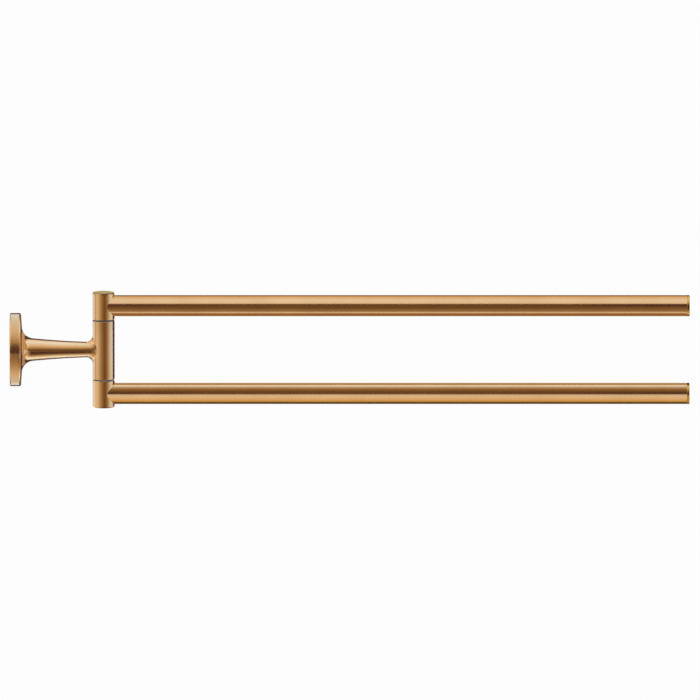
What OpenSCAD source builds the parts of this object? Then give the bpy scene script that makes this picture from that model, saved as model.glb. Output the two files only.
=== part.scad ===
// Two-arm swing towel holder. A round rosette carries a waisted stem and an upright barrel,
// and two straight rails swing on the ends of the barrel, one above the other.
// Millimetres. The origin is the centre of the wall face, +X leaves the wall and +Z is up.

/* [Reach] */
// Wall face to the tips of the rails
reach = 450; // [300:5:600]
// Wall face to the pivot axis
pivot_reach = 62; // [50:0.5:90]

/* [Rosette] */
// Outer diameter of the rosette
rosette_d = 48.5; // [44:0.5:60]
// Depth of the rosette's rim
rosette_depth = 7.4; // [6.4:0.1:12]
// Rise of the face from the rim to the neck
face_rise = 0.5; // [0.2:0.1:1.5]
// Thickness of the wall behind the rim
rim_wall = 2.4; // [1.6:0.1:3]
// Thickness of the wall behind the face
face_wall = 2.4; // [1.4:0.1:3]
// Rounding of the rim's front edge
front_edge_r = 1.2; // [0.4:0.1:1.5]
// Rounding of the rim's wall edge
back_edge_r = 0.8; // [0.2:0.1:1]

/* [Stem] */
// Fillet between the face and the stem
neck_fillet_r = 8; // [4:0.5:10]
// Slope of the outline where the stem leaves the neck, in degrees
neck_slope = 5.7; // [3:0.1:8]
// Slope of the outline at the waist, in degrees
waist_slope = 1.9; // [0.5:0.1:2.5]
// Diameter of the waist, where the fillet to the barrel starts
waist_d = 10.3; // [8:0.1:12]
// Fillet between the stem and the barrel, above and below
saddle_r = 4.2; // [2:0.1:6]
// How far the fillet wraps round the barrel's flanks, 0 for the waist and 1 for the full width
saddle_wrap = 0.62; // [0.3:0.02:0.8]

/* [Pivot column] */
// Diameter of the barrel and the hubs
column_d = 14.7; // [14:0.1:20]
// Height of the barrel
barrel_h = 39; // [30:1:60]
// Height of each hub
hub_h = 18; // [16:0.5:26]
// Rounding of each hub's outer edge
hub_edge_r = 0.8; // [0.3:0.1:1.2]
// Chamfer of the barrel and hubs beside the rings
seam_chamfer = 0.25; // [0.1:0.05:0.5]

/* [Rails] */
// Outer diameter of the rails
rail_d = 14; // [11:0.5:14]
// Wall thickness of the rails
rail_wall = 1; // [0.8:0.1:2]
// Length of the hub's spigot inside the rail
spigot_l = 12; // [6:1:25]
// Thickness of the end cap's rim
cap_rim_t = 1.6; // [1:0.1:4]
// Length of the end cap's plug inside the rail
cap_plug_l = 8; // [4:1:20]
// Rounding of the end cap's outer edge
cap_edge_r = 0.3; // [0.1:0.1:0.8]
// Chamfer of the rail and the cap at the line between them
cap_seam_chamfer = 0.15; // [0.05:0.05:0.4]

/* [Pivot parts] */
// Diameter of the pivot shaft
shaft_d = 8; // [7:0.1:8.5]
// Width across the flats at the ends of the shaft
shaft_flats = 6; // [5:0.1:6.6]
// Wall thickness of the bushes
bush_wall = 1; // [0.6:0.1:1.2]
// Diameter of the bushes' flanges, the rings that show
ring_d = 13.3; // [12:0.1:14]
// Thickness of the bushes' flanges
ring_t = 0.9; // [0.5:0.1:2]
// Ledge round the top of the bush
ledge = 0.6; // [0.4:0.1:0.8]
// Free height of the wave washers as fitted
wave_h = 0.7; // [0.5:0.1:1.2]
// Strip thickness of the wave washers
wave_t = 0.25; // [0.15:0.05:0.4]
// Thickness of the keyed washers
keyed_washer_t = 1; // [0.8:0.1:1.5]
// Thickness of the split lock washers
lock_washer_t = 0.8; // [0.5:0.1:1.2]
// Outer diameter of the split lock washers
lock_washer_d = 7; // [6:0.1:8]
// Width of the split
lock_washer_split = 0.7; // [0.4:0.1:1]
// Thread diameter of the retaining screws
screw_d = 4; // [3:0.1:4.5]
// Length of the retaining screws under the head
screw_l = 10; // [6:1:14]
// Head diameter of the retaining screws
screw_head_d = 7; // [5.5:0.1:8]
// Head height of the retaining screws
screw_head_h = 2.2; // [1.8:0.1:3]
// Width across the flats of the retaining screws' sockets
screw_socket = 2.5; // [2:0.5:3]
// Room between the screw head and the hub cap
head_room = 0.5; // [0.2:0.1:1.5]
// Thickness of the hub caps
hub_cap_t = 1.8; // [1:0.1:3]
// Chamfer round the hub caps' faces
hub_cap_chamfer = 0.2; // [0.1:0.05:0.4]

/* [Wall fixing] */
// Diameter of the screw holes in the wall plate
wall_hole_d = 4.5; // [3.5:0.1:5.5]
// Distance between the screw holes
wall_hole_spacing = 28; // [20:0.5:28]
// Diameter of the countersinks
countersink_d = 8.6; // [7:0.1:9]
// Depth of the groove round the wall plate
groove_depth = 1.2; // [1:0.1:1.5]
// Diameter of the set screw
set_screw_d = 3; // [2.5:0.1:3]
// Width across the flats of the set screw's socket
set_screw_socket = 1.5; // [1.3:0.1:1.5]
// Flat on the set screw's point
set_screw_point_d = 1; // [0.6:0.1:1.2]
// Depth of the set screw's end below the rim
set_screw_sink = 0.4; // [0.2:0.1:1]

/* [Fits] */
// Radial clearance of the bushes on the shaft
run_clear = 0.05; // [0.02:0.01:0.1]
// Radial clearance of pieces that are pressed, brazed or screwed in
seat_clear = 0.02; // [0.01:0.01:0.05]
// Axial clearance between faces that turn on each other
thrust_clear = 0.02; // [0.01:0.01:0.05]
// Radial clearance of the washers in the hub
washer_clear = 0.25; // [0.1:0.05:0.35]
// Gap between the wall plate's edge and the rim
plate_side_gap = 0.4; // [0.2:0.1:0.8]
// Gap between the wall plate's front and the face wall
plate_front_gap = 0.6; // [0.2:0.1:1]

/* [Hidden] */

$fn = 96;
bronze = [0.72, 0.53, 0.34];
gold = [0.82, 0.66, 0.33];
slate = [0.30, 0.34, 0.38];
steel = [0.75, 0.76, 0.78];
dark_steel = [0.25, 0.25, 0.27];

// How far a cut runs past the face that it opens
past = 1;

// Rosette and stem, as radii and distances from the wall
rosette_r = rosette_d / 2;
face_x = rosette_depth + face_rise;
cavity_r = rosette_r - rim_wall;
cavity_depth = rosette_depth - face_wall;
waist_r = waist_d / 2;
column_r = column_d / 2;
waist_x = pivot_reach - column_r - saddle_r;
neck_c_x = face_x + neck_fillet_r;
stem_x0 = neck_c_x - neck_fillet_r * sin(neck_slope);
stem_arc_r = (waist_x - stem_x0) / (sin(neck_slope) - sin(waist_slope));
stem_r0 = waist_r + stem_arc_r * (cos(waist_slope) - cos(neck_slope));
neck_c_r = stem_r0 + neck_fillet_r * cos(neck_slope);
stem_arc_c = [stem_r0 + stem_arc_r * cos(neck_slope), stem_x0 + stem_arc_r * sin(neck_slope)];

// Fillet between the stem and the barrel: rings of points round the stem's axis
saddle_sides = 48;
saddle_steps = 8;
saddle_top = waist_r + saddle_r;
saddle_flank = waist_r + saddle_wrap * (column_r - waist_r);
// Handle length that makes a quarter turn of the curve a circle's arc
round_handle = 0.5523;
// The fillet's first and last rings stand this far out of the stem and the barrel
proud = 0.03;
sunk = 0.4;

// Heights of the upper hub's pieces; the lower hub is its mirror image
barrel_top = barrel_h / 2;
hub_bottom = barrel_top + ring_t;
hub_top = hub_bottom + hub_h;
rail_z = hub_bottom + hub_h / 2;
stack_h = wave_h + keyed_washer_t + lock_washer_t + screw_head_h + head_room + hub_cap_t;
bush_top = hub_top - stack_h;
shaft_top = bush_top + wave_h;
keyed_top = shaft_top + keyed_washer_t;
head_bottom = keyed_top + lock_washer_t;
cap_bottom = hub_top - hub_cap_t;

// Radii in the pivot
shaft_r = shaft_d / 2;
bush_bore_r = shaft_r + run_clear;
bush_r = bush_bore_r + bush_wall;
hub_bore_r = bush_r + seat_clear;
recess_r = bush_r + ledge;
washer_r = recess_r - washer_clear;
screw_r = screw_d / 2;
screw_hole_depth = screw_l + 1;
// The keyed washer is a little thicker than the flats are long, so the screw clamps it
flats_h = keyed_washer_t - 0.1;
socket_share = 0.6;

// Rails
rail_r = rail_d / 2;
rail_bore_r = rail_r - rail_wall;
plug_r = rail_bore_r - seat_clear;
plug_chamfer = 0.5;
rail_end = reach - cap_rim_t;

// Wall plate and set screw
plate_r = cavity_r - plate_side_gap;
plate_t = cavity_depth - plate_front_gap;
groove_r = plate_r - groove_depth;
set_screw_x = cavity_depth / 2;
set_screw_r = set_screw_d / 2;
set_screw_point_r = set_screw_point_d / 2;
set_screw_tip = groove_r + set_screw_point_r + thrust_clear;
set_screw_end = rosette_r - set_screw_sink;

// Points on an arc round c from angle a0 to a1, from step first of n
function arc(c, r, a0, a1, n, first = 0) = [
    for (i = [first:n]) let (a = a0 + (a1 - a0) * i / n) c + r * [cos(a), sin(a)]
];

// Point at t on a cubic curve with ends a and d that leaves towards b and arrives from c
function cubic(a, b, c, d, t) =
    pow(1 - t, 3) * a + 3 * t * pow(1 - t, 2) * b + 3 * t * t * (1 - t) * c + pow(t, 3) * d;

// Turns what stands on +Z to lie along +X
module along_x() {
    rotate([0, 90, 0]) children();
}

// Builds its child at the top, and its mirror image below
module both_ends() {
    children();
    mirror([0, 0, 1]) children();
}

// Ring or disc round the Z axis, from height z0 to z1
module ring(outer_r, inner_r, z0, z1) {
    difference() {
        translate([0, 0, z0]) cylinder(r = outer_r, h = z1 - z0);
        if (inner_r > 0) {
            translate([0, 0, z0 - past]) cylinder(r = inner_r, h = z1 - z0 + 2 * past);
        }
    }
}

// Hexagon prism of a given width across the flats
module hex_prism(across, h) {
    cylinder(d = across / cos(30), h = h, $fn = 6);
}

// Rosette and stem: outline of radius against distance from the wall, turned about X
module rosette_and_stem() {
    outline = concat(
        [[0, 0]],
        arc([rosette_r - back_edge_r, back_edge_r], back_edge_r, -90, 0, 6),
        arc([rosette_r - front_edge_r, rosette_depth - front_edge_r], front_edge_r, 0, 90, 8),
        arc([neck_c_r, neck_c_x], neck_fillet_r, -90, neck_slope - 180, 14),
        arc(stem_arc_c, stem_arc_r, neck_slope - 180, waist_slope - 180, 10, 1),
        [[waist_r, pivot_reach], [0, pivot_reach]]
    );
    along_x() rotate_extrude() polygon(outline);
}

// One point of the fillet: phi goes round the stem's axis from the top, t from stem to barrel.
// Each curve lies in a plane through the stem's axis and is tangent to the stem and the barrel.
function saddle_point(phi, t) =
    let (
        end_r = 1 / norm([cos(phi) / saddle_top, sin(phi) / saddle_flank]),
        flank = end_r * sin(phi),
        half_chord = sqrt(column_r * column_r - flank * flank),
        lean = end_r * pow(sin(phi), 2) / half_chord,
        end = [pivot_reach - half_chord - proud, end_r],
        corner = [end[0] - (end_r - waist_r) * lean, waist_r + proud],
        start = [corner[0] - norm(end - corner), waist_r + proud],
        p = cubic(start, start + round_handle * (corner - start),
                  end + round_handle * (corner - end), end, t)
    )
    [p[0], p[1] * sin(phi), p[1] * cos(phi)];

// Fillet between the stem and the barrel, closed by sunk rings inside both
module saddle() {
    turns = [for (j = [0:saddle_sides - 1]) 360 * j / saddle_sides];
    sunk_start = [
        for (phi = turns) let (p = saddle_point(phi, 0), k = (waist_r - sunk) / (waist_r + proud))
            [p[0], p[1] * k, p[2] * k]
    ];
    rings = [for (i = [0:saddle_steps]) each [for (phi = turns) saddle_point(phi, i / saddle_steps)]];
    sunk_end = [for (phi = turns) saddle_point(phi, 1) + [sunk, 0, 0]];
    points = concat([[waist_x, 0, 0]], sunk_start, rings, sunk_end, [[pivot_reach, 0, 0]]);
    last = len(points) - 1;
    ring_count = saddle_steps + 3;
    n = saddle_sides;
    faces = concat(
        [for (j = [0:n - 1]) [0, 1 + (j + 1) % n, 1 + j]],
        [
            for (i = [0:ring_count - 2], j = [0:n - 1], half = [0:1])
                let (a = 1 + i * n + j, b = 1 + i * n + (j + 1) % n)
                half == 0 ? [a, b, b + n] : [a, b + n, a + n]
        ],
        [for (j = [0:n - 1]) [last, last - n + j, last - n + (j + 1) % n]]
    );
    polyhedron(points, faces);
}

// Upright barrel, chamfered at both ends
module barrel_solid() {
    outline = [
        [0, -barrel_top],
        [column_r - seam_chamfer, -barrel_top],
        [column_r, -barrel_top + seam_chamfer],
        [column_r, barrel_top - seam_chamfer],
        [column_r - seam_chamfer, barrel_top],
        [0, barrel_top],
    ];
    translate([pivot_reach, 0, 0]) rotate_extrude() polygon(outline);
}

// Cast rosette, stem and barrel in one piece, hollow behind the face
module bracket() {
    color(bronze) difference() {
        union() {
            rosette_and_stem();
            saddle();
            barrel_solid();
        }
        translate([-past, 0, 0]) along_x() cylinder(r = cavity_r, h = cavity_depth + past);
        translate([pivot_reach, 0, -barrel_top - past])
            cylinder(r = shaft_r + seat_clear, h = barrel_h + 2 * past);
        translate([set_screw_x, 0, -rosette_r - past])
            cylinder(r = set_screw_r + seat_clear, h = rim_wall + 2 * past);
    }
}

// Plate that is screwed to the wall; the set screw grips the groove round its edge
module wall_plate() {
    outline = [
        [0, 0],
        [plate_r, 0],
        [plate_r, set_screw_x - groove_depth],
        [groove_r, set_screw_x],
        [plate_r, set_screw_x + groove_depth],
        [plate_r, plate_t],
        [0, plate_t],
    ];
    countersink_depth = (countersink_d - wall_hole_d) / 2;
    color(steel) difference() {
        along_x() rotate_extrude() polygon(outline);
        for (side = [-1, 1]) {
            translate([0, 0, side * wall_hole_spacing / 2]) along_x() {
                translate([0, 0, -past]) cylinder(d = wall_hole_d, h = plate_t + 2 * past);
                translate([0, 0, plate_t - countersink_depth])
                    cylinder(d1 = wall_hole_d, d2 = countersink_d, h = countersink_depth);
            }
        }
    }
}

// Headless screw under the rosette, with a cone point and a hexagon socket
module set_screw() {
    outline = [
        [0, set_screw_tip],
        [set_screw_point_r, set_screw_tip],
        [set_screw_r, set_screw_tip + set_screw_r - set_screw_point_r],
        [set_screw_r, set_screw_end],
        [0, set_screw_end],
    ];
    socket_h = (set_screw_end - set_screw_tip) / 2;
    color(dark_steel) translate([set_screw_x, 0, 0]) mirror([0, 0, 1]) difference() {
        rotate_extrude() polygon(outline);
        translate([0, 0, set_screw_end - socket_h]) hex_prism(set_screw_socket, socket_h + past);
    }
}

// Round section with two flats, for the shaft's ends and the keyed washers' holes
module flatted(r, across, h) {
    intersection() {
        cylinder(r = r, h = h);
        translate([-across / 2, -r - past, 0]) cube([across, 2 * (r + past), h]);
    }
}

// Shaft through the barrel and both hubs, flatted and tapped at each end
module pivot_shaft() {
    color(steel) translate([pivot_reach, 0, 0]) difference() {
        union() {
            ring(shaft_r, 0, -shaft_top, shaft_top);
            both_ends() translate([0, 0, shaft_top]) flatted(shaft_r, shaft_flats, flats_h);
        }
        both_ends() translate([0, 0, head_bottom - screw_hole_depth])
            cylinder(r = screw_r + seat_clear, h = screw_hole_depth);
    }
}

// Washers that can't turn on the shaft, one at each end
module keyed_washers() {
    color(steel) translate([pivot_reach, 0, 0]) both_ends() difference() {
        ring(washer_r, 0, shaft_top + thrust_clear, keyed_top);
        translate([0, 0, shaft_top - past])
            flatted(shaft_r + run_clear, shaft_flats + 2 * run_clear, keyed_washer_t + 2 * past);
    }
}

// Split washers under the screw heads
module lock_washers() {
    inner_r = screw_r + 2 * run_clear;
    color(steel) translate([pivot_reach, 0, 0]) both_ends() difference() {
        ring(lock_washer_d / 2, inner_r, keyed_top, head_bottom);
        translate([0, -lock_washer_split / 2, keyed_top - past])
            cube([lock_washer_d, lock_washer_split, lock_washer_t + 2 * past]);
    }
}

// Screws that hold the keyed washers, one at each end
module retaining_screws() {
    color(dark_steel) translate([pivot_reach, 0, 0]) both_ends() difference() {
        union() {
            ring(screw_r, 0, head_bottom - screw_l, head_bottom);
            ring(screw_head_d / 2, 0, head_bottom, head_bottom + screw_head_h);
        }
        translate([0, 0, head_bottom + screw_head_h * (1 - socket_share)])
            hex_prism(screw_socket, screw_head_h);
    }
}

// Turned hub with a spigot for the rail, bored for the bush and recessed for washers and cap
module hub() {
    outline = concat(
        [[0, hub_bottom], [column_r - seam_chamfer, hub_bottom], [column_r, hub_bottom + seam_chamfer]],
        arc([column_r - hub_edge_r, hub_top - hub_edge_r], hub_edge_r, 0, 90, 8),
        [[0, hub_top]]
    );
    color(bronze) translate([pivot_reach, 0, 0]) difference() {
        union() {
            rotate_extrude() polygon(outline);
            translate([0, 0, rail_z]) along_x() cylinder(r = plug_r, h = column_r + spigot_l);
        }
        translate([0, 0, hub_bottom - past]) cylinder(r = hub_bore_r, h = hub_h);
        translate([0, 0, bush_top]) cylinder(r = recess_r, h = hub_top - bush_top + past);
    }
}

// Straight tube, cut at one end to sit round the hub
module rail() {
    length = rail_end - pivot_reach;
    outline = [
        [rail_bore_r, 0],
        [rail_r, 0],
        [rail_r, length - cap_seam_chamfer],
        [rail_r - cap_seam_chamfer, length],
        [rail_bore_r, length],
    ];
    color(bronze) translate([pivot_reach, 0, rail_z]) difference() {
        along_x() rotate_extrude() polygon(outline);
        translate([0, 0, -column_d]) cylinder(r = column_r + seat_clear, h = 2 * column_d);
    }
}

// Plug that closes the rail, with a rim as wide as the rail
module end_cap() {
    outline = concat(
        [
            [0, -cap_plug_l],
            [plug_r - plug_chamfer, -cap_plug_l],
            [plug_r, plug_chamfer - cap_plug_l],
            [plug_r, 0],
            [rail_r - cap_seam_chamfer, 0],
            [rail_r, cap_seam_chamfer],
        ],
        arc([rail_r - cap_edge_r, cap_rim_t - cap_edge_r], cap_edge_r, 0, 90, 4),
        [[0, cap_rim_t]]
    );
    color(gold) translate([rail_end, 0, rail_z]) along_x() rotate_extrude() polygon(outline);
}

// Disc that closes the hub over the screw
module hub_cap() {
    cap_r = recess_r - seat_clear;
    outline = [
        [0, cap_bottom],
        [cap_r, cap_bottom],
        [cap_r, hub_top - hub_cap_chamfer],
        [cap_r - hub_cap_chamfer, hub_top],
        [0, hub_top],
    ];
    color(bronze) translate([pivot_reach, 0, 0]) rotate_extrude() polygon(outline);
}

// Flanged plastic bush; its flange is the ring between the barrel and the hub
module bush() {
    outline = [
        [bush_bore_r, barrel_top + thrust_clear],
        [ring_d / 2, barrel_top + thrust_clear],
        [ring_d / 2, hub_bottom],
        [bush_r, hub_bottom],
        [bush_r, bush_top],
        [bush_bore_r, bush_top],
    ];
    color(slate) translate([pivot_reach, 0, 0]) rotate_extrude() polygon(outline);
}

// Spring washer with three waves, between the bush and the keyed washer
module wave_washer() {
    sides = 60;
    waves = 3;
    inner_r = shaft_r + washer_clear;
    swing = (wave_h - thrust_clear - wave_t) / 2;
    points = [
        for (j = [0:sides - 1])
            let (a = 360 * j / sides, z = bush_top + swing * (1 + cos(waves * a)))
            each [
                [inner_r * cos(a), inner_r * sin(a), z],
                [washer_r * cos(a), washer_r * sin(a), z],
                [washer_r * cos(a), washer_r * sin(a), z + wave_t],
                [inner_r * cos(a), inner_r * sin(a), z + wave_t],
            ]
    ];
    faces = [
        for (j = [0:sides - 1], k = [0:3], half = [0:1])
            let (
                a = 4 * j + k,
                b = 4 * j + (k + 1) % 4,
                c = 4 * ((j + 1) % sides) + (k + 1) % 4,
                d = 4 * ((j + 1) % sides) + k
            )
            half == 0 ? [a, b, c] : [a, c, d]
    ];
    color(steel) translate([pivot_reach, 0, 0]) polyhedron(points, faces);
}

bracket();
wall_plate();
set_screw();
pivot_shaft();
keyed_washers();
lock_washers();
retaining_screws();
hub();  // upper_hub
rail();  // upper_rail
end_cap();  // upper_end_cap
hub_cap();  // upper_hub_cap
bush();  // upper_bush
wave_washer();  // upper_wave_washer
mirror([0, 0, 1]) hub();  // lower_hub
mirror([0, 0, 1]) rail();  // lower_rail
mirror([0, 0, 1]) end_cap();  // lower_end_cap
mirror([0, 0, 1]) hub_cap();  // lower_hub_cap
mirror([0, 0, 1]) bush();  // lower_bush
mirror([0, 0, 1]) wave_washer();  // lower_wave_washer
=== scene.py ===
import math

import bmesh
import bpy
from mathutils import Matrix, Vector


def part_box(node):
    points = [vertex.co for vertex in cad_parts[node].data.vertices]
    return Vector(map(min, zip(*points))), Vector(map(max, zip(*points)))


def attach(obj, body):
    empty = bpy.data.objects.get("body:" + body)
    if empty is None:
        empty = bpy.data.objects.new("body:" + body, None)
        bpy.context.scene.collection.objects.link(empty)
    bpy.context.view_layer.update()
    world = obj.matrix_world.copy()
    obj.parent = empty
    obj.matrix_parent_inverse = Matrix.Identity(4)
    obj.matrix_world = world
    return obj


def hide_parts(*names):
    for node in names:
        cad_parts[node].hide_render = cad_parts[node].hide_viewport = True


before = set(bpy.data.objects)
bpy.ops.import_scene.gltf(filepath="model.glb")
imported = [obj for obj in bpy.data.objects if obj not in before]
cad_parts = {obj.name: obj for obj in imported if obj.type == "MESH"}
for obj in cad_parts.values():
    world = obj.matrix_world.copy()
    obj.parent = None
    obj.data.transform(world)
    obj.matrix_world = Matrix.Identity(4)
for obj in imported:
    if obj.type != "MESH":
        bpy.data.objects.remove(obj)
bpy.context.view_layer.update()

# Sizes are metres. The frame gives where each piece lies; the rest are the object's own small sizes.
MM = 0.001
UP = Vector((0, 0, 1))
OUT = Vector((1, 0, 0))

bracket_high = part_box("bracket")[1]
hub_low, hub_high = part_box("upper_hub")
bush_low, bush_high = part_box("upper_bush")
rail_low, rail_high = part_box("upper_rail")
cap_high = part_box("upper_end_cap")[1]
disc_low, disc_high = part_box("upper_hub_cap")
plate_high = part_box("wall_plate")[1]

# Gap between pieces that touch in the real holder
SEAM_GAP = 0.02 * MM

# Sizes of the bracket, measured from the wall along X
COLUMN_R = hub_high.y
PIVOT = Vector((hub_low.x + COLUMN_R, 0, 0))
BARREL_CHAMFER = 0.07 * MM
BARREL_TOP = bush_low.z - SEAM_GAP
SHAFT_BORE_R = 4.02 * MM

ROSETTE_R = bracket_high.z
ROSETTE_DEPTH = 7.4 * MM
FACE_X = 7.9 * MM
PLATE_SIDE_GAP = 0.4 * MM
PLATE_FRONT_GAP = 0.6 * MM
CAVITY_R = plate_high.y + PLATE_SIDE_GAP
CAVITY_DEPTH = plate_high.x + PLATE_FRONT_GAP
FRONT_EDGE_R = 1.2 * MM
BACK_EDGE_R = 0.8 * MM
SET_SCREW_HOLE_R = 1.52 * MM

# The stem narrows from the neck, at the rosette, to the waist, where the saddle's fillet starts. Its slopes
# there are in degrees. The saddle reaches less far out on the barrel's flanks than above and below the stem.
NECK_FILLET_R = 8.0 * MM
NECK_SLOPE = 5.7
WAIST_SLOPE = 1.9
WAIST_R = 5.15 * MM
SADDLE_R = 4.2 * MM
SADDLE_TOP = WAIST_R + SADDLE_R
SADDLE_FLANK_SHARE = 0.46
SADDLE_FLANK = WAIST_R + SADDLE_FLANK_SHARE * (COLUMN_R - WAIST_R)
WAIST_X = PIVOT.x - COLUMN_R - SADDLE_R

# Sizes of what turns on the column
HUB_EDGE_R = 0.8 * MM
HUB_SEAM_CHAMFER = 0.2 * MM
HUB_BORE_R = 5.07 * MM
RECESS_R = disc_high.y + SEAM_GAP
SPIGOT_R = 5.98 * MM
RAIL_Z = (rail_low.z + rail_high.z) / 2
RAIL_R = rail_high.y
TUBE_WALL = 1.0 * MM
RAIL_BORE_R = RAIL_R - TUBE_WALL
COPE_R = COLUMN_R + SEAM_GAP
COPE_CHAMFER = 0.12 * MM
CAP_SEAM_CHAMFER = 0.08 * MM
CAP_EDGE_R = 0.3 * MM
CAP_PLUG_L = 8.0 * MM
CAP_PLUG_R = 5.98 * MM
CAP_PLUG_CHAMFER = 0.5 * MM
DISC_CHAMFER = 0.2 * MM
BUSH_BORE_R = 4.05 * MM
BUSH_SLEEVE_R = 5.05 * MM
BUSH_EDGE = 0.1 * MM

# Fineness of the round shapes
TURN_STEPS = 192
COLUMN_STEPS = 144
SPIGOT_STEPS = 96
SPIGOT_RINGS = 8
HOLE_STEPS = 48
STEM_STEPS = 24
NECK_STEPS = 20
SADDLE_STEPS = 12
PATCH_STEPS = 10
FRONT_EDGE_STEPS = 10
EDGE_STEPS = 8
CAP_EDGE_STEPS = 6
SHARP_ANGLE = 30
MERGE = 0.0005 * MM


def arc(centre, radius, start, end, steps, first=0):
    """Points of an arc in an outline of (distance along the axis, radius), with angles in degrees."""
    turns = [math.radians(start + (end - start) * i / steps) for i in range(first, steps + 1)]
    return [(centre[0] + radius * math.cos(a), centre[1] + radius * math.sin(a)) for a in turns]


def turned(outline, axis, place, closed=False, steps=TURN_STEPS):
    """Turns an outline of (distance along the axis, radius) points about X or Z through place."""
    bm = bmesh.new()
    side = UP if axis == OUT else OUT
    verts = [bm.verts.new(place + axis * along + side * radius) for along, radius in outline]
    pairs = list(zip(verts, verts[1:]))
    if closed:
        pairs.append((verts[-1], verts[0]))
    edges = [bm.edges.new(pair) for pair in pairs]
    bmesh.ops.spin(
        bm, geom=verts + edges, cent=place, axis=axis, dvec=(0, 0, 0),
        angle=math.tau, steps=steps, use_merge=True, use_duplicate=False,
    )
    bmesh.ops.remove_doubles(bm, verts=bm.verts, dist=MERGE)
    return bm


def open_ring(bm, belongs):
    """Edges with one face whose two ends both pass the test."""
    return [e for e in bm.edges if e.is_boundary and all(belongs(v.co) for v in e.verts)]


def extended(bm, ring, place):
    """Extrudes an open ring of edges, puts each new vertex where place says and returns the new ring."""
    made = bmesh.ops.extrude_edge_only(bm, edges=ring)["geom"]
    new = {g for g in made if isinstance(g, bmesh.types.BMVert)}
    for vert in new:
        vert.co = place(vert)
    return [g for g in made if isinstance(g, bmesh.types.BMEdge) and set(g.verts) <= new]


def mirrored_below(bm):
    """Turns an upper piece into the lower one."""
    bmesh.ops.scale(bm, vec=(1, 1, -1), verts=bm.verts)
    return bm


def made_mesh(bm, name):
    """Closes the work on a bmesh: normals outwards, smooth faces and sharp corners."""
    bmesh.ops.recalc_face_normals(bm, faces=bm.faces)
    mesh = bpy.data.meshes.new(name)
    bm.to_mesh(mesh)
    bm.free()
    mesh.polygons.foreach_set("use_smooth", [True] * len(mesh.polygons))
    mesh.set_sharp_from_angle(angle=math.radians(SHARP_ANGLE))
    return mesh


def added(mesh, name):
    """Puts a mesh in the scene and returns its object."""
    piece = bpy.data.objects.new(name, mesh)
    bpy.context.scene.collection.objects.link(piece)
    return piece


def boolean(mesh, tool_bm, operation):
    """Unites a mesh with a tool, or takes the tool away from it, and returns the new mesh."""
    piece = added(mesh, "boolean_piece")
    tool = added(made_mesh(tool_bm, "boolean_tool"), "boolean_tool")
    cut = piece.modifiers.new("cut", "BOOLEAN")
    cut.operation = operation
    cut.solver = "EXACT"
    cut.object = tool
    bpy.context.view_layer.update()
    graph = bpy.context.evaluated_depsgraph_get()
    result = bpy.data.meshes.new_from_object(piece.evaluated_get(graph))
    bpy.data.objects.remove(piece)
    bpy.data.objects.remove(tool)
    result.set_sharp_from_angle(angle=math.radians(SHARP_ANGLE))
    return result


def dressed(mesh, name, body, node, material):
    """Puts a finished mesh in the scene in place of its CAD node."""
    mesh.name = name
    mesh.materials.clear()
    mesh.materials.append(material)
    piece = added(mesh, name)
    even = piece.modifiers.new("even_shading", "WEIGHTED_NORMAL")
    even.keep_sharp = True
    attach(piece, body)
    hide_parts(node)
    return piece


# Bracket: rosette, stem, saddle and barrel in one casting


def rosette_and_stem_outline():
    """Outline from the middle of the hollow back, round the rim and along the stem to the waist."""
    neck_c_x = FACE_X + NECK_FILLET_R
    neck_sin = math.sin(math.radians(NECK_SLOPE))
    neck_cos = math.cos(math.radians(NECK_SLOPE))
    waist_sin = math.sin(math.radians(WAIST_SLOPE))
    waist_cos = math.cos(math.radians(WAIST_SLOPE))
    stem_x0 = neck_c_x - NECK_FILLET_R * neck_sin
    stem_arc_r = (WAIST_X - stem_x0) / (neck_sin - waist_sin)
    stem_r0 = WAIST_R + stem_arc_r * (waist_cos - neck_cos)
    neck_c_r = stem_r0 + NECK_FILLET_R * neck_cos
    stem_c = (stem_x0 + stem_arc_r * neck_sin, stem_r0 + stem_arc_r * neck_cos)
    back_c = (BACK_EDGE_R, ROSETTE_R - BACK_EDGE_R)
    front_c = (ROSETTE_DEPTH - FRONT_EDGE_R, ROSETTE_R - FRONT_EDGE_R)
    before_waist = 1.0 * MM
    return (
        [(CAVITY_DEPTH, 0), (CAVITY_DEPTH, CAVITY_R), (0, CAVITY_R)]
        + arc(back_c, BACK_EDGE_R, 180, 90, EDGE_STEPS)
        + arc(front_c, FRONT_EDGE_R, 90, 0, FRONT_EDGE_STEPS)
        + arc((neck_c_x, neck_c_r), NECK_FILLET_R, 180, 270 - NECK_SLOPE, NECK_STEPS)
        + arc(stem_c, stem_arc_r, 270 - NECK_SLOPE, 270 - WAIST_SLOPE, STEM_STEPS, first=1)[:-1]
        + [(WAIST_X - before_waist, WAIST_R + before_waist * math.tan(math.radians(WAIST_SLOPE)))]
    )


def saddle_end(turn):
    """Distance from the stem's axis and from the pivot plane where the fillet meets the barrel."""
    end_r = 1 / math.hypot(math.cos(turn) / SADDLE_TOP, math.sin(turn) / SADDLE_FLANK)
    return end_r, math.sqrt(COLUMN_R**2 - (end_r * math.sin(turn)) ** 2)


def saddle_point(turn, t):
    """One point of the fillet: turn goes round the stem from the top, t from the stem to the barrel."""
    end_r, half_chord = saddle_end(turn)
    lean = end_r * math.sin(turn) ** 2 / half_chord
    end = Vector((PIVOT.x - half_chord, end_r))
    corner = Vector((end.x - (end_r - WAIST_R) * lean, WAIST_R))
    start = Vector((corner.x - (end - corner).length, WAIST_R))
    # This handle makes a curve nearly a quarter circle
    round_handle = 0.5523
    b = start.lerp(corner, round_handle)
    c = end.lerp(corner, round_handle)
    p = (1 - t) ** 3 * start + 3 * t * (1 - t) ** 2 * b + 3 * t * t * (1 - t) * c + t**3 * end
    return Vector((p.x, p.y * math.sin(turn), p.y * math.cos(turn)))


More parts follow.
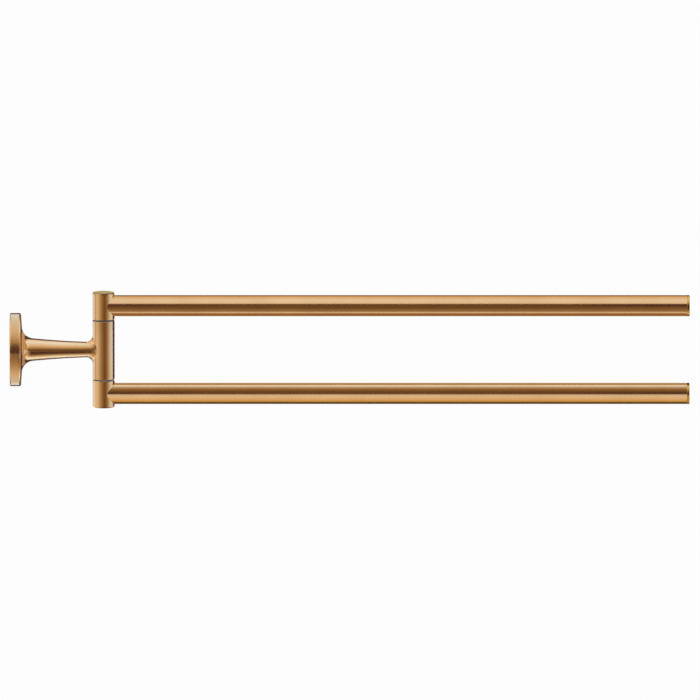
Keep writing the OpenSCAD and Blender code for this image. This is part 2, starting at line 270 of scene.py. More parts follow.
def barrel_edge(turn, height):
    """Where a line that leaves the stem at turn meets the edge of the barrel's half on the stem's side,
    unrolled: the angle round the barrel from the stem, and the height."""
    quarter = math.pi / 4
    half = math.pi / 2
    side = math.copysign(1, turn)
    turn = abs(turn)
    if turn <= quarter:
        return side * half * turn / quarter, height
    if turn <= 3 * quarter:
        return side * half, height * (half - turn) / quarter
    return side * half * (math.pi - turn) / quarter, -height


def patch_point(turn, t, height):
    """One point of the barrel's half on the stem's side, t from the fillet's end to the half's edge."""
    end_r = saddle_end(turn)[0]
    a0 = math.asin(end_r * math.sin(turn) / COLUMN_R)
    z0 = end_r * math.cos(turn)
    a1, z1 = barrel_edge(turn, height)
    a = a0 + (a1 - a0) * t
    return PIVOT + Vector((-COLUMN_R * math.cos(a), COLUMN_R * math.sin(a), z0 + (z1 - z0) * t))


def bracket_bmesh():
    """The casting without its set screw's hole: turned to the waist, then fillet, barrel and bore."""
    bm = turned(rosette_and_stem_outline(), OUT, Vector())
    ring = open_ring(bm, lambda co: co.x > WAIST_X / 2)
    turn = bm.verts.layers.float.new("turn")
    for vert in {v for e in ring for v in e.verts}:
        vert[turn] = math.atan2(vert.co.y, vert.co.z)
    for i in range(SADDLE_STEPS + 1):
        ring = extended(bm, ring, lambda v: saddle_point(v[turn], i / SADDLE_STEPS))
    height = BARREL_TOP - BARREL_CHAMFER
    for i in range(1, PATCH_STEPS + 1):
        ring = extended(bm, ring, lambda v: patch_point(v[turn], i / PATCH_STEPS, height))
    # The barrel's other half is swept from one side to the other
    side = [e for e in ring if all(v.co.y > COLUMN_R - MERGE for v in e.verts)]
    side_verts = list({v for e in side for v in e.verts})
    bmesh.ops.spin(
        bm, geom=side_verts + side, cent=PIVOT, axis=UP, dvec=(0, 0, 0),
        angle=-math.pi, steps=COLUMN_STEPS // 2, use_duplicate=False,
    )
    bmesh.ops.remove_doubles(bm, verts=bm.verts, dist=MERGE)
    bore_rings = []
    for end in (1, -1):
        ring = open_ring(bm, lambda co: co.z * end > height - MERGE)
        for radius in (COLUMN_R - BARREL_CHAMFER, SHAFT_BORE_R):
            ring = extended(bm, ring, lambda v: on_column(v.co, radius, BARREL_TOP * end))
        bore_rings += ring
    bmesh.ops.bridge_loops(bm, edges=bore_rings)
    bm.verts.layers.float.remove(turn)
    return bm


def on_column(co, radius, height):
    """The point at another radius and height in the same direction from the pivot axis."""
    outwards = Vector((co.x - PIVOT.x, co.y, 0)).normalized()
    return PIVOT + outwards * radius + UP * height


def set_screw_hole():
    """Tool for the hole through the rim, under the rosette."""
    screw_low, screw_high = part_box("set_screw")
    middle = Vector(((screw_low.x + screw_high.x) / 2, 0, 0))
    past_wall = 1.0 * MM
    bottom = -ROSETTE_R - past_wall
    top = -CAVITY_R + past_wall
    outline = [(bottom, 0), (bottom, SET_SCREW_HOLE_R), (top, SET_SCREW_HOLE_R), (top, 0)]
    return turned(outline, UP, middle, steps=HOLE_STEPS)


# What turns on the column, made for the upper arm


def hub_bmesh():
    """Hub with a bore for the bush and a recess for the disc."""
    outline = [(hub_low.z, HUB_BORE_R), (hub_low.z, COLUMN_R - HUB_SEAM_CHAMFER)]
    outline.append((hub_low.z + HUB_SEAM_CHAMFER, COLUMN_R))
    outline += arc((hub_high.z - HUB_EDGE_R, COLUMN_R - HUB_EDGE_R), HUB_EDGE_R, 90, 0, EDGE_STEPS)
    outline += [(hub_high.z, RECESS_R), (bush_high.z, RECESS_R), (bush_high.z, HUB_BORE_R)]
    return turned(outline, UP, PIVOT, closed=True, steps=COLUMN_STEPS)


def spigot_bmesh():
    """Stub inside the tube; its inner end follows the middle of the hub's wall."""
    wall_r = (HUB_BORE_R + COLUMN_R) / 2
    length = hub_high.x - PIVOT.x
    outline = [(0, SPIGOT_R * i / SPIGOT_RINGS) for i in range(SPIGOT_RINGS + 1)]
    outline += [(length, SPIGOT_R), (length, 0)]
    bm = turned(outline, OUT, PIVOT + UP * RAIL_Z, steps=SPIGOT_STEPS)
    for vert in bm.verts:
        if vert.co.x < PIVOT.x + MERGE:
            vert.co.x += math.sqrt(wall_r**2 - vert.co.y**2)
    return bm


def rail_bmesh():
    """Straight tube, its near end coped to sit round the hub."""
    length = rail_high.x - PIVOT.x
    outline = [
        (0, RAIL_BORE_R),
        (0, RAIL_R - COPE_CHAMFER),
        (COPE_CHAMFER, RAIL_R),
        (length - CAP_SEAM_CHAMFER, RAIL_R),
        (length, RAIL_R - CAP_SEAM_CHAMFER),
        (length, RAIL_BORE_R),
    ]
    bm = turned(outline, OUT, PIVOT + UP * RAIL_Z, closed=True)
    for vert in bm.verts:
        if vert.co.x < PIVOT.x + COPE_CHAMFER + MERGE:
            vert.co.x += math.sqrt(COPE_R**2 - vert.co.y**2)
    return bm


def end_cap_bmesh():
    """Cap that closes the tube's far end, with a plug inside the tube."""
    rim = cap_high.x - rail_high.x
    outline = [
        (-CAP_PLUG_L, 0),
        (-CAP_PLUG_L, CAP_PLUG_R - CAP_PLUG_CHAMFER),
        (CAP_PLUG_CHAMFER - CAP_PLUG_L, CAP_PLUG_R),
        (0, CAP_PLUG_R),
        (0, RAIL_R - CAP_SEAM_CHAMFER),
        (CAP_SEAM_CHAMFER, RAIL_R),
    ]
    outline += arc((rim - CAP_EDGE_R, RAIL_R - CAP_EDGE_R), CAP_EDGE_R, 90, 0, CAP_EDGE_STEPS)
    outline.append((rim, 0))
    return turned(outline, OUT, Vector((rail_high.x, 0, RAIL_Z)))


def hub_disc_bmesh():
    """Disc that closes the hub's outer end."""
    radius = disc_high.y
    outline = [(disc_low.z, 0), (disc_low.z, radius), (disc_high.z - DISC_CHAMFER, radius)]
    outline += [(disc_high.z, radius - DISC_CHAMFER), (disc_high.z, 0)]
    return turned(outline, UP, PIVOT, steps=COLUMN_STEPS)


def bush_bmesh():
    """Flanged bush; its flange is the ring that shows."""
    ring_r = bush_high.y
    top = hub_low.z
    outline = [
        (bush_low.z, BUSH_BORE_R),
        (bush_low.z, ring_r - BUSH_EDGE),
        (bush_low.z + BUSH_EDGE, ring_r),
        (top - BUSH_EDGE, ring_r),
        (top, ring_r - BUSH_EDGE),
        (top, BUSH_SLEEVE_R),
        (bush_high.z, BUSH_SLEEVE_R),
        (bush_high.z, BUSH_BORE_R),
    ]
    return turned(outline, UP, PIVOT, closed=True, steps=COLUMN_STEPS)


# Materials

# Noise keeps near the middle of its range, between these two
NOISE_LOW = 0.3
NOISE_HIGH = 0.7
RELIEF_DEPTH = 0.01 * MM


def new_material(name):
    """Material with its node tree and its shader."""
    material = bpy.data.materials.new(name)
    material.use_nodes = True
    tree = material.node_tree
    return material, tree, tree.nodes["Principled BSDF"]


def noise_at(tree, scales, detail=2.0):
    """Noise on the piece's own coordinates, with a scale along each axis."""
    place = tree.nodes.new("ShaderNodeTexCoord")
    mapping = tree.nodes.new("ShaderNodeMapping")
    mapping.inputs["Scale"].default_value = scales
    noise = tree.nodes.new("ShaderNodeTexNoise")
    noise.inputs["Scale"].default_value = 1.0
    noise.inputs["Detail"].default_value = detail
    tree.links.new(place.outputs["Object"], mapping.inputs["Vector"])
    tree.links.new(mapping.outputs["Vector"], noise.inputs["Vector"])
    return noise.outputs["Fac"]


def ranged(tree, value, low, high):
    """Maps noise to the range from low to high."""
    remap = tree.nodes.new("ShaderNodeMapRange")
    remap.inputs["From Min"].default_value = NOISE_LOW
    remap.inputs["From Max"].default_value = NOISE_HIGH
    remap.inputs["To Min"].default_value = low
    remap.inputs["To Max"].default_value = high
    tree.links.new(value, remap.inputs["Value"])
    return remap.outputs["Result"]


def tinted(tree, value, first, second):
    """Colour between two tones, by a value."""
    mix = tree.nodes.new("ShaderNodeMix")
    mix.data_type = "RGBA"
    mix.inputs["A"].default_value = (*first, 1)
    mix.inputs["B"].default_value = (*second, 1)
    tree.links.new(value, mix.inputs["Factor"])
    return mix.outputs["Result"]


def bumped(tree, shader, height, strength):
    """Gives a shader a fine relief."""
    bump = tree.nodes.new("ShaderNodeBump")
    bump.inputs["Distance"].default_value = RELIEF_DEPTH
    bump.inputs["Strength"].default_value = strength
    tree.links.new(height, bump.inputs["Height"])
    tree.links.new(bump.outputs["Normal"], shader.inputs["Normal"])


def satin_metal(name, tones, roughness, streaks):
    """Metal with faint clouds between two tones and fine brushing: streaks is its scale along each axis."""
    material, tree, shader = new_material(name)
    shader.inputs["Metallic"].default_value = 1.0
    cloud = ranged(tree, noise_at(tree, CLOUD_SCALES), 0.0, 1.0)
    tree.links.new(tinted(tree, cloud, *tones), shader.inputs["Base Color"])
    brushing = noise_at(tree, streaks, detail=3.0)
    tree.links.new(ranged(tree, brushing, *roughness), shader.inputs["Roughness"])
    bumped(tree, shader, brushing, BRUSHING_STRENGTH)
    return material


def moulded_plastic(name, tones, roughness):
    """Plastic with a fine grain and a weak shine."""
    material, tree, shader = new_material(name)
    grain = noise_at(tree, MOULDED_GRAIN)
    tree.links.new(tinted(tree, ranged(tree, grain, 0.0, 1.0), *tones), shader.inputs["Base Color"])
    tree.links.new(ranged(tree, grain, *roughness), shader.inputs["Roughness"])
    shader.inputs["Specular IOR Level"].default_value = PLASTIC_SHINE
    bumped(tree, shader, grain, GRAIN_STRENGTH)
    return material


# Scales of the noise along X, Y and Z, per metre. Brushing runs round the axis on which it changes fast.
CLOUD_SCALES = (45, 45, 45)
ROUND_X = (2200, 60, 60)
ROUND_Z = (60, 60, 2200)
PLATING_GRAIN = (400, 400, 400)
BLACKING_GRAIN = (500, 500, 500)
MOULDED_GRAIN = (3500, 3500, 3500)
BRUSHING_STRENGTH = 0.25
GRAIN_STRENGTH = 0.2
PLASTIC_SHINE = 0.3

# Each material has two tones and a range of roughness
BRONZE_TONES = ((0.70, 0.455, 0.24), (0.76, 0.505, 0.28))
BRONZE_ROUGHNESS = (0.14, 0.19)
GOLD_TONES = ((0.62, 0.48, 0.12), (0.68, 0.53, 0.15))
GOLD_ROUGHNESS = (0.10, 0.14)
SLATE_TONES = ((0.026, 0.06, 0.1), (0.034, 0.075, 0.125))
SLATE_ROUGHNESS = (0.42, 0.55)
PLATED_TONES = ((0.52, 0.53, 0.55), (0.6, 0.61, 0.62))
PLATED_ROUGHNESS = (0.28, 0.42)
DARK_TONES = ((0.05, 0.05, 0.055), (0.075, 0.075, 0.08))
DARK_ROUGHNESS = (0.35, 0.5)
bronze_tube = satin_metal("bronze_tube", BRONZE_TONES, BRONZE_ROUGHNESS, ROUND_X)
bronze_casting = satin_metal("bronze_casting", BRONZE_TONES, BRONZE_ROUGHNESS, ROUND_X)
bronze_turned = satin_metal("bronze_turned", BRONZE_TONES, BRONZE_ROUGHNESS, ROUND_Z)
gold_cap = satin_metal("gold_cap", GOLD_TONES, GOLD_ROUGHNESS, ROUND_X)
bush_plastic = moulded_plastic("bush_plastic", SLATE_TONES, SLATE_ROUGHNESS)
plated_steel = satin_metal("plated_steel", PLATED_TONES, PLATED_ROUGHNESS, PLATING_GRAIN)
dark_steel = satin_metal("dark_steel", DARK_TONES, DARK_ROUGHNESS, BLACKING_GRAIN)


# Pieces

cast = boolean(made_mesh(bracket_bmesh(), "bracket"), set_screw_hole(), "DIFFERENCE")
casting = dressed(cast, "bracket_casting", "wall_bracket", "bracket", bronze_casting)

# Each piece of an arm: its name, CAD node, slot, material and shape. The hub's spigot is one with it.
ARM_PIECES = [
    ("turned_hub", "hub", "bronze", bronze_turned, hub_bmesh),
    ("coped_tube", "rail", "bronze", bronze_tube, rail_bmesh),
    ("tube_cap", "end_cap", "gold", gold_cap, end_cap_bmesh),
    ("hub_disc", "hub_cap", "bronze", bronze_turned, hub_disc_bmesh),
    ("flanged_bush", "bush", "slate_plastic", bush_plastic, bush_bmesh),
]
arm_pieces = {}
for arm in ("upper", "lower"):
    for piece_name, node, slot, material, shape in ARM_PIECES:
        parts = [shape()]
        if node == "hub":
            parts.append(spigot_bmesh())
        if arm == "lower":
            parts = [mirrored_below(bm) for bm in parts]
        mesh = made_mesh(parts[0], piece_name)
        if node == "hub":
            mesh = boolean(mesh, parts[1], "UNION")
        name = f"{arm}_{piece_name}"
        arm_pieces[name] = dressed(mesh, name, f"{arm}_arm", f"{arm}_{node}", material)

# These nodes show their CAD solids
KEPT_NODES = {
    "wall_plate": plated_steel,
    "pivot_shaft": plated_steel,
    "keyed_washers": plated_steel,
    "lock_washers": plated_steel,
    "upper_wave_washer": plated_steel,
    "lower_wave_washer": plated_steel,
    "set_screw": dark_steel,
    "retaining_screws": dark_steel,
}
for node, material in KEPT_NODES.items():
    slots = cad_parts[node].data.materials
    slots.clear()
    slots.append(material)


# Camera: square to the rails and a little above them

FRAME_WIDTH = 0.4635
CAMERA_LENS = 1200
SENSOR_WIDTH = 36
CAMERA_ELEVATION = math.radians(9)
CAMERA_TARGET = Vector((0.2252, 0, -0.0003))
CAMERA_DISTANCE = FRAME_WIDTH * CAMERA_LENS / SENSOR_WIDTH
camera_data = bpy.data.cameras.new("camera")
camera_data.sensor_width = SENSOR_WIDTH
camera_data.lens = CAMERA_LENS
camera_data.clip_start = 0.1
camera_data.clip_end = 100
camera = bpy.data.objects.new("camera", camera_data)
bpy.context.scene.collection.objects.link(camera)
back = Vector((0, -math.cos(CAMERA_ELEVATION), math.sin(CAMERA_ELEVATION)))
camera.location = CAMERA_TARGET + back * CAMERA_DISTANCE
camera.rotation_mode = "QUATERNION"
camera.rotation_quaternion = (-back).to_track_quat("-Z", "Y")
bpy.context.scene.camera = camera


# Studio: pale floor and white surroundings, a dark tent that only reflections see, and long panels


def bare_material(name):
    """Material with no shader yet, its node tree and the socket that takes its surface."""
    material, tree, shader = new_material(name)
    tree.nodes.remove(shader)
    return material, tree, tree.nodes["Material Output"].inputs["Surface"]


def white_backdrop(tree, shader, level):
    """Shows plain white to camera, glossy and transmission rays; level is the share that is white."""
    path = tree.nodes.new("ShaderNodeLightPath")
    seen = path.outputs["Is Camera Ray"]
    for name in ("Is Glossy Ray", "Is Transmission Ray"):
        either = tree.nodes.new("ShaderNodeMath")
        either.operation = "MAXIMUM"
        tree.links.new(seen, either.inputs[0])
        tree.links.new(path.outputs[name], either.inputs[1])
        seen = either.outputs[0]
    share = tree.nodes.new("ShaderNodeMath")
    share.operation = "MULTIPLY"
    share.inputs[1].default_value = level
    tree.links.new(seen, share.inputs[0])
    white = tree.nodes.new("ShaderNodeEmission")
    white.inputs["Color"].default_value = (1, 1, 1, 1)
    white.inputs["Strength"].default_value = 1.0
    mix = tree.nodes.new("ShaderNodeMixShader")
    tree.links.new(share.outputs[0], mix.inputs["Fac"])
    tree.links.new(shader.outputs[0], mix.inputs[1])
    tree.links.new(white.outputs[0], mix.inputs[2])
    return mix.outputs[0]


DAYLIGHT_LEVEL = 0.9
world = bpy.data.worlds.new("studio")
bpy.context.scene.world = world
world.use_nodes = True
tree = world.node_tree
daylight = tree.nodes["Background"]
daylight.inputs["Color"].default_value = (1, 1, 1, 1)
daylight.inputs["Strength"].default_value = DAYLIGHT_LEVEL
tree.links.new(white_backdrop(tree, daylight, 1.0), tree.nodes["World Output"].inputs["Surface"])

FLOOR_Z = -3.3
FLOOR_SIZE = 100
FLOOR_TONE = (0.9, 0.9, 0.9, 1)
FLOOR_WHITE_SHARE = 0.9
bm = bmesh.new()
bmesh.ops.create_grid(bm, x_segments=1, y_segments=1, size=FLOOR_SIZE / 2)
bmesh.ops.translate(bm, vec=(0, 0, FLOOR_Z), verts=bm.verts)
floor_mesh = bpy.data.meshes.new("floor")
bm.to_mesh(floor_mesh)
bm.free()
floor_material, tree, surface = bare_material("floor_white")
matt = tree.nodes.new("ShaderNodeBsdfDiffuse")
matt.inputs["Color"].default_value = FLOOR_TONE
tree.links.new(white_backdrop(tree, matt, FLOOR_WHITE_SHARE), surface)
floor_mesh.materials.append(floor_material)
floor = added(floor_mesh, "floor")

# Tones of light. A panel shows its tone times its level, where 1 is plain white.
NEUTRAL = (1.0, 1.0, 1.0)
COOL = (0.82, 1.0, 1.25)
WARM = (1.0, 0.84, 0.62)
AMBER = (1.0, 0.7, 0.38)
BROWN = (1.0, 0.56, 0.22)
OCHRE = (1.0, 0.66, 0.2)
KHAKI = (1.0, 0.93, 0.5)

TENT_R = 3.0
TENT_TONE = (0.09, 0.045, 0.05)
TENT_SEGMENTS = 48
TENT_RINGS = 24


def add_tent():
    """Dark tent round everything, which only reflections see, so that metal shows the panels against it."""
    bm = bmesh.new()
    bmesh.ops.create_uvsphere(bm, u_segments=TENT_SEGMENTS, v_segments=TENT_RINGS, radius=TENT_R)
    mesh = bpy.data.meshes.new("tent")
    bm.to_mesh(mesh)
    bm.free()
    material, tree, surface = bare_material("tent_cloth")
    glow = tree.nodes.new("ShaderNodeEmission")
    glow.inputs["Color"].default_value = (*TENT_TONE, 1)
    tree.links.new(glow.outputs[0], surface)
    mesh.materials.append(material)
    tent = added(mesh, "tent")
    tent.visible_camera = False
    tent.visible_diffuse = False
    tent.visible_transmission = False
    tent.visible_volume_scatter = False
    tent.visible_shadow = False


add_tent()

# A square metre of panel with this many watts looks like plain white. A panel of an arch or fence takes up
# so many degrees at most, and one that is fainter than the last value is left out.
PANEL_WATTS = math.pi
PANEL_SPAN = 12
FAINTEST = 0.01


def lit_group(name, pieces):
    """Pieces that a set of panels lights."""
    collection = bpy.data.collections.new(name)
    for piece in pieces:
        collection.objects.link(piece)
    return collection


def add_panel(name, place, turn, width, height, tone, lit):
    """Flat panel that lights one group of pieces and shows in their reflections alone."""
    glow = [max(0.0, t - dark) for t, dark in zip(tone, TENT_TONE)]
    data = bpy.data.lights.new(name, "AREA")
    data.shape = "RECTANGLE"
    data.size = width
    data.size_y = height
    data.color = [g / max(glow) for g in glow]
    data.energy = PANEL_WATTS * max(glow) * width * height
    data.use_shadow = False
    light = bpy.data.objects.new(name, data)
    bpy.context.scene.collection.objects.link(light)
    light.location = place
    light.rotation_euler = turn
    light.visible_camera = False
    light.light_linking.receiver_collection = lit


def steps_between(stops):
    """Even steps (middle, span, tone) between stops of (angle, tone, level), angles rising."""
    for (low, tone_a, level_a), (high, tone_b, level_b) in zip(stops, stops[1:]):
        count = math.ceil((high - low) / PANEL_SPAN)
        for i in range(count):
            t = (i + 0.5) / count
            tone = [(1 - t) * level_a * a + t * level_b * b for a, b in zip(tone_a, tone_b)]
            if max(g - dark for g, dark in zip(tone, TENT_TONE)) > FAINTEST:
                yield math.radians(low + (high - low) * t), math.radians((high - low) / count), tone


def add_arch(name, stops, lit, radius, x_low, x_high):
    """Panels along X in an arch round the rails: 0 degrees is level, on the camera's side, and 90 above."""
    for angle, span, tone in steps_between(stops):
        place = ((x_low + x_high) / 2, -radius * math.cos(angle), radius * math.sin(angle))
        turn = (math.pi / 2 - angle, 0, 0)
        add_panel(name, place, turn, x_high - x_low, 2 * radius * math.tan(span / 2), tone, lit)


def add_fence(name, stops, lit, radius, z_low, z_high):
    """Upright panels round the pivot axis: 0 degrees is the camera's side and 90 the rails' side."""
    for angle, span, tone in steps_between(stops):
        middle_z = (z_low + z_high) / 2
        place = PIVOT + Vector((radius * math.sin(angle), -radius * math.cos(angle), middle_z))
        turn = (math.pi / 2, 0, angle)
        add_panel(name, place, turn, 2 * radius * math.tan(span / 2), z_high - z_low, tone, lit)


def add_wall(name, hue, level, lit, x, facing, y_span, z_span):
    """Flat panel across X that faces along it, 1 or -1; the spans are (low, high) along Y and Z."""
    (y_low, y_high), (z_low, z_high) = y_span, z_span
    place = (x, (y_low + y_high) / 2, (z_low + z_high) / 2)
    turn = (0, -facing * math.pi / 2, 0)
    add_panel(name, place, turn, z_high - z_low, y_high - y_low, [level * t for t in hue], lit)


# Each set of panels lights its own pieces
kept_pieces = [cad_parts[node] for node in KEPT_NODES]
casting_lit = lit_group("casting_lit", [casting] + kept_pieces)
hub_lit = {}
tube_lit = {}
cap_lit = {}
for arm in ("upper", "lower"):
    hub_pieces = [arm_pieces[f"{arm}_{name}"] for name in ("turned_hub", "hub_disc", "flanged_bush")]
    hub_lit[arm] = lit_group(f"{arm}_hub_lit", hub_pieces)
    tube_lit[arm] = lit_group(f"{arm}_tube_lit", [arm_pieces[f"{arm}_coped_tube"]])
    cap_lit[arm] = lit_group(f"{arm}_cap_lit", [arm_pieces[f"{arm}_tube_cap"]])

# The pieces don't show in each other, so that each shows its own panels from end to end
for piece in [casting] + list(arm_pieces.values()) + kept_pieces:
    piece.visible_glossy = False

# Arches for the tubes, their caps and the hubs' edges. Each list of stops gives (degrees, hue, level).
RAILS_R = 0.9
RAILS_LOW_X = -1.6
RAILS_HIGH_X = 2.0
TUBE_ARCHES = {
    "upper": [
        [(-172, AMBER, 0.5), (-140, AMBER, 0.45), (-115, BROWN, 0.38), (-81, BROWN, 0.4)],
        [(-81, WARM, 0.96), (-72, NEUTRAL, 0.98), (-64, WARM, 0.82)],
        [(-64, WARM, 0.54), (-48, AMBER, 0.4), (-36, AMBER, 0.3), (-20, AMBER, 0.23)],
        [
            (30, WARM, 0.88), (37, NEUTRAL, 0.95), (52, NEUTRAL, 1.06), (72, NEUTRAL, 1.06),
            (92, NEUTRAL, 0.97), (112, WARM, 0.94), (128, AMBER, 0.76), (142, AMBER, 0.5),
            (152, AMBER, 0.22), (182, AMBER, 0.16),
        ],
    ],
    "lower": [
        [(-172, AMBER, 0.12), (-98, OCHRE, 0.14)],
        [
            (-98, OCHRE, 0.68), (-88, OCHRE, 0.78), (-74, AMBER, 0.9), (-58, WARM, 0.92),
            (-40, WARM, 1.02), (-24, NEUTRAL, 0.95), (-10, NEUTRAL, 0.85), (-3, WARM, 0.75),
        ],
        [
            (24, BROWN, 0.2), (36, BROWN, 0.24), (46, AMBER, 0.29), (56, AMBER, 0.37), (66, WARM, 0.5),
            (78, WARM, 0.68), (92, NEUTRAL, 0.84),
        ],
        [(92, COOL, 1.35), (111, COOL, 1.4)],
        [(111, AMBER, 0.64), (152, AMBER, 0.6), (182, WARM, 0.5)],
    ],
}
for arm, arches in TUBE_ARCHES.items():
    for stops in arches:
        add_arch(f"{arm}_tube", stops, tube_lit[arm], RAILS_R, RAILS_LOW_X, RAILS_HIGH_X)

# Walls close the arches, for views along the tubes: (low Z, high Z, level) of each strip
WALL_STRIPS = ((-0.9, -0.3, 0.35), (-0.3, 0.1, 0.5), (0.1, 0.5, 0.75), (0.5, 0.9, 0.95))
for lit in list(tube_lit.values()) + list(cap_lit.values()):
    for x, facing in ((RAILS_LOW_X, 1), (RAILS_HIGH_X, -1)):
        for z_low, z_high, level in WALL_STRIPS:
            add_wall("end_wall", WARM, level, lit, x, facing, (-RAILS_R, RAILS_R), (z_low, z_high))

# The dark band along each tube is darkest near the tube's ends
BAND_LOW_X = 0.085
BAND_HIGH_X = 0.4
BAND_ARCHES = {
    "upper": [(-20, BROWN, 0.22), (0, BROWN, 0.2), (30, BROWN, 0.17)],
    "lower": [(-3, BROWN, 0.17), (12, BROWN, 0.18), (24, BROWN, 0.2)],
}
END_ARCHES = {
    "upper": [(-20, AMBER, 0.28), (-8, BROWN, 0.22), (7, BROWN, 0.12)],
    "lower": [(18, BROWN, 0.14), (24, BROWN, 0.2)],
}
for arm, lit in tube_lit.items():
    add_arch(f"{arm}_band", BAND_ARCHES[arm], lit, RAILS_R, BAND_LOW_X, BAND_HIGH_X)
    add_arch(f"{arm}_low_end", END_ARCHES[arm], lit, RAILS_R, RAILS_LOW_X, BAND_LOW_X)
    add_arch(f"{arm}_high_end", END_ARCHES[arm], lit, RAILS_R, BAND_HIGH_X, RAILS_HIGH_X)

CAP_ARCHES = {
    "upper": [
        [
            (-129, BROWN, 0.35), (-105, BROWN, 0.6), (-92, AMBER, 0.9), (-80, AMBER, 0.95),
            (-68, AMBER, 0.82), (-57, BROWN, 0.6), (-45, BROWN, 0.42), (-30, BROWN, 0.22), (-16, BROWN, 0.1),
        ],
        [
            (23, BROWN, 0.3), (34, BROWN, 0.6), (46, OCHRE, 0.75), (58, WARM, 0.83), (70, WARM, 0.95),
            (84, WARM, 1.05), (100, WARM, 1.05), (116, AMBER, 1.0), (134, BROWN, 0.55), (146, BROWN, 0.2),
        ],
    ],
    "lower": [
        [
            (-120, OCHRE, 0.55), (-107, OCHRE, 0.62), (-60, OCHRE, 0.72), (-35, OCHRE, 0.68),
            (-23, BROWN, 0.6), (-11, BROWN, 0.42), (0, BROWN, 0.16),
        ],
        [
            (16, BROWN, 0.14), (22, BROWN, 0.22), (33, BROWN, 0.42), (44, BROWN, 0.6), (56, AMBER, 0.8),
            (68, WARM, 1.0), (96, WARM, 1.0), (108, AMBER, 0.7), (118, BROWN, 0.35),
        ],
    ],
}
for arm, arches in CAP_ARCHES.items():
    for stops in arches:
        add_arch(f"{arm}_cap", stops, cap_lit[arm], RAILS_R, RAILS_LOW_X, RAILS_HIGH_X)

# The rosette's rim shows what stands straight before it, the stem, which tapers, what stands to its right,
# and the saddle what stands to its left
CASTING_R = 0.4
RIM_LOW_X = -0.03
RIM_HIGH_X = 0.028
STEM_HIGH_X = 0.66
SADDLE_LOW_X = -1.0
RIM_ARCHES = [
    [
        (-138, COOL, 1.35), (-122, COOL, 1.2), (-112, NEUTRAL, 0.92), (-92, NEUTRAL, 0.86),
        (-75, WARM, 0.88), (-58, WARM, 0.74), (-43, AMBER, 0.68), (-33, AMBER, 0.58), (-23, AMBER, 0.46),
        (-15, AMBER, 0.36),
    ],
    [
        (20, BROWN, 0.12), (28, AMBER, 0.35), (40, AMBER, 0.65), (58, WARM, 0.8), (72, WARM, 0.88),
        (92, NEUTRAL, 0.93), (110, COOL, 1.05), (130, COOL, 1.2), (155, COOL, 1.15),
    ],
]
STEM_ARCHES = [
    [
        (-112, WARM, 0.8), (-102, COOL, 1.5), (-86, COOL, 1.5), (-78, NEUTRAL, 1.1), (-68, WARM, 0.84),
        (-56, AMBER, 0.4), (-44, AMBER, 0.17), (-36, BROWN, 0.08),
    ],
    [
        (2, BROWN, 0.12), (12, AMBER, 0.32), (25, AMBER, 0.55), (36, WARM, 0.76), (50, WARM, 0.95),
        (64, NEUTRAL, 1.05), (80, COOL, 1.25), (100, COOL, 1.4), (118, NEUTRAL, 1.15), (130, AMBER, 0.7),
    ],
]
SADDLE_ARCHES = [
    [
        (-112, WARM, 0.8), (-100, COOL, 1.1), (-86, COOL, 1.1), (-68, WARM, 0.9), (-52, AMBER, 0.6),
        (-40, AMBER, 0.35), (-30, BROWN, 0.15),
    ],
    [
        (2, BROWN, 0.2), (14, AMBER, 0.4), (28, WARM, 0.65), (42, WARM, 0.9), (60, NEUTRAL, 1.1),
        (100, NEUTRAL, 1.15), (125, WARM, 0.95), (150, WARM, 0.7), (168, AMBER, 0.55), (182, AMBER, 0.5),
    ],
]
CASTING_ARCHES = (
    ("rim", RIM_ARCHES, RIM_LOW_X, RIM_HIGH_X),
    ("stem", STEM_ARCHES, RIM_HIGH_X, STEM_HIGH_X),
    ("saddle", SADDLE_ARCHES, SADDLE_LOW_X, RIM_LOW_X),
)
for name, arches, x_low, x_high in CASTING_ARCHES:
    for stops in arches:
        add_arch(name, stops, casting_lit, CASTING_R, x_low, x_high)

# A wall closes the saddle's arches, down to a little below the level of the stem
SADDLE_WALL_LEVEL = 0.95
SADDLE_WALL_Y = (-CASTING_R, CASTING_R)
SADDLE_WALL_Z = (-0.06, 0.4)
add_wall("saddle_wall", WARM, SADDLE_WALL_LEVEL, casting_lit, SADDLE_LOW_X, 1, SADDLE_WALL_Y, SADDLE_WALL_Z)

# The neck, where the stem flares into the rosette, shows what stands behind the stem. These panels face the
# rosette: (span along Y, span along Z). Below them the neck shows the barrel's low fence on the right.
NECK_X = 0.058
NECK_LEVEL = 0.7
NECK_SPANS = (((0.012, 0.12), (-0.016, -0.0025)), ((-0.035, 0.3), (-0.0025, 0.035)))
for y_span, z_span in NECK_SPANS:
    add_wall("neck", AMBER, NECK_LEVEL, casting_lit, NECK_X, -1, y_span, z_span)

# Fences for the column. Barrel and hubs show the same shades, but for a line near the left edge.
COLUMN_STOPS = [
    (-80, WARM, 0.98), (-66, NEUTRAL, 0.95), (-54, WARM, 0.88), (-42, WARM, 0.7), (-26, AMBER, 0.53),
    (-8, AMBER, 0.33), (8, BROWN, 0.22), (22, BROWN, 0.26), (36, AMBER, 0.38), (50, WARM, 0.54),
    (62, WARM, 0.8), (74, COOL, 1.05), (98, COOL, 1.1), (111, COOL, 1.15),
]
COLUMN_LEFT = [(-165, COOL, 1.15), (-103, COOL, 1.2)]
ORANGE_LINE = [(-103, AMBER, 0.82), (-90, AMBER, 0.82), (-80, WARM, 0.98)]
PALE_LINE = [(-103, WARM, 1.15), (-90, WARM, 1.2), (-80, WARM, 1.05)]
FENCE_R = 0.45
BARREL_Z = (-0.12, -0.03)
HUB_Z = (-0.32, 0.03)
for stops in (COLUMN_LEFT, ORANGE_LINE, COLUMN_STOPS):
    add_fence("barrel", stops, casting_lit, FENCE_R, *BARREL_Z)
    add_fence("upper_hub", stops, hub_lit["upper"], FENCE_R, *HUB_Z)
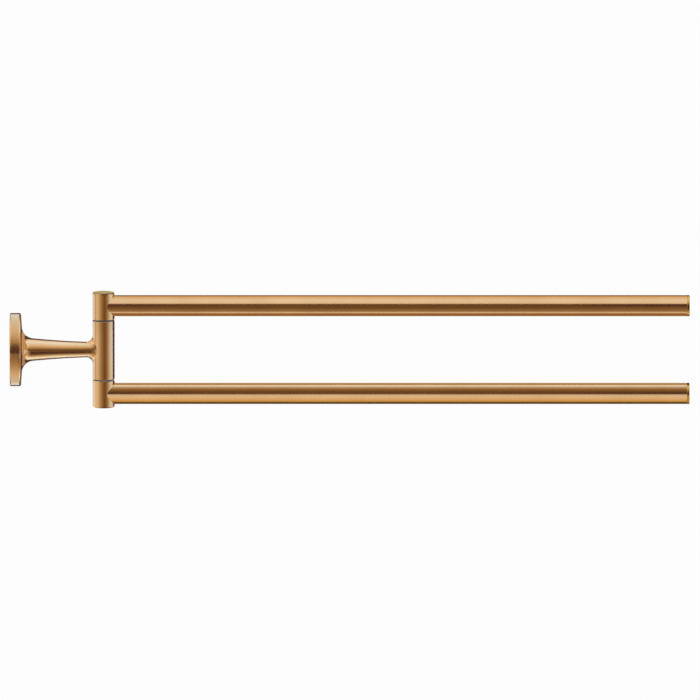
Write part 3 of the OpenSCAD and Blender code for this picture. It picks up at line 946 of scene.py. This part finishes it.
for stops in (COLUMN_LEFT, PALE_LINE, COLUMN_STOPS):
    add_fence("lower_hub", stops, hub_lit["lower"], FENCE_R, *HUB_Z)

# What the column shows in views from other sides. The neck shows the low fence on the right from the front.
LOW_LEFT_STOPS = [(-165, COOL, 0.75), (-103, COOL, 0.75), (-80, WARM, 0.6), (-26, AMBER, 0.3)]
BACK_STOPS = [(111, WARM, 0.75), (140, AMBER, 0.5), (165, AMBER, 0.6)]
FAR_BACK_STOPS = [(165, AMBER, 0.6), (195, COOL, 0.8)]
LOW_RIGHT_STOPS = [(30, AMBER, 0.25), (46, AMBER, 0.42), (60, AMBER, 0.62), (111, AMBER, 0.7)]
LOW_Z = (-0.32, -0.12)
BACK_Z = (-0.32, -0.11)
add_fence("barrel_low_left", LOW_LEFT_STOPS, casting_lit, FENCE_R, *LOW_Z)
add_fence("barrel_low_right", LOW_RIGHT_STOPS, casting_lit, FENCE_R, *LOW_Z)
for lit in (casting_lit, hub_lit["upper"], hub_lit["lower"]):
    add_fence("column_back", BACK_STOPS, lit, FENCE_R, *BACK_Z)
OVERHEAD_SIZE = 0.5
OVERHEAD_PLACE = (PIVOT.x, 0, 1.0)
OVERHEAD_TONE = [0.6 * t for t in WARM]
for lit in hub_lit.values():
    add_fence("hub_far_back", FAR_BACK_STOPS, lit, FENCE_R, *BACK_Z)
    add_panel("overhead", OVERHEAD_PLACE, (0, 0, 0), OVERHEAD_SIZE, OVERHEAD_SIZE, OVERHEAD_TONE, lit)

# The upper hub's right edge is ochre over the rail
OVER_RAIL_STOPS = [(116, OCHRE, 0.45), (160, OCHRE, 0.4)]
OVER_RAIL_R = 0.1
OVER_RAIL_Z = (0.014, 0.04)
add_fence("hub_over_rail", OVER_RAIL_STOPS, hub_lit["upper"], OVER_RAIL_R, *OVER_RAIL_Z)

# The hubs' rounded edges go on with the shades of their sides, dark in the middle, and the tops are khaki:
# (name, stops, span along X)
HUB_ARCHES = [
    ("left_edge", [(4, WARM, 0.8), (90, NEUTRAL, 0.95), (150, WARM, 0.8)], (-3.0, -0.3)),
    ("right_edge", [(4, WARM, 0.9), (90, NEUTRAL, 1.0), (150, KHAKI, 0.7)], (0.9, 3.0)),
    ("left_edge", [(-150, WARM, 0.7), (-50, WARM, 0.75)], (-1.5, -0.3)),
    ("right_edge", [(-150, OCHRE, 0.5), (-50, WARM, 0.7)], (0.9, 1.5)),
    ("hub_top", [(158, KHAKI, 0.45), (170, KHAKI, 0.6), (182, KHAKI, 0.62)], (-1.0, 1.0)),
]
for lit in hub_lit.values():
    for name, stops, x_span in HUB_ARCHES:
        add_arch(name, stops, lit, RAILS_R, *x_span)

view = bpy.context.scene.view_settings
view.view_transform = "Standard"
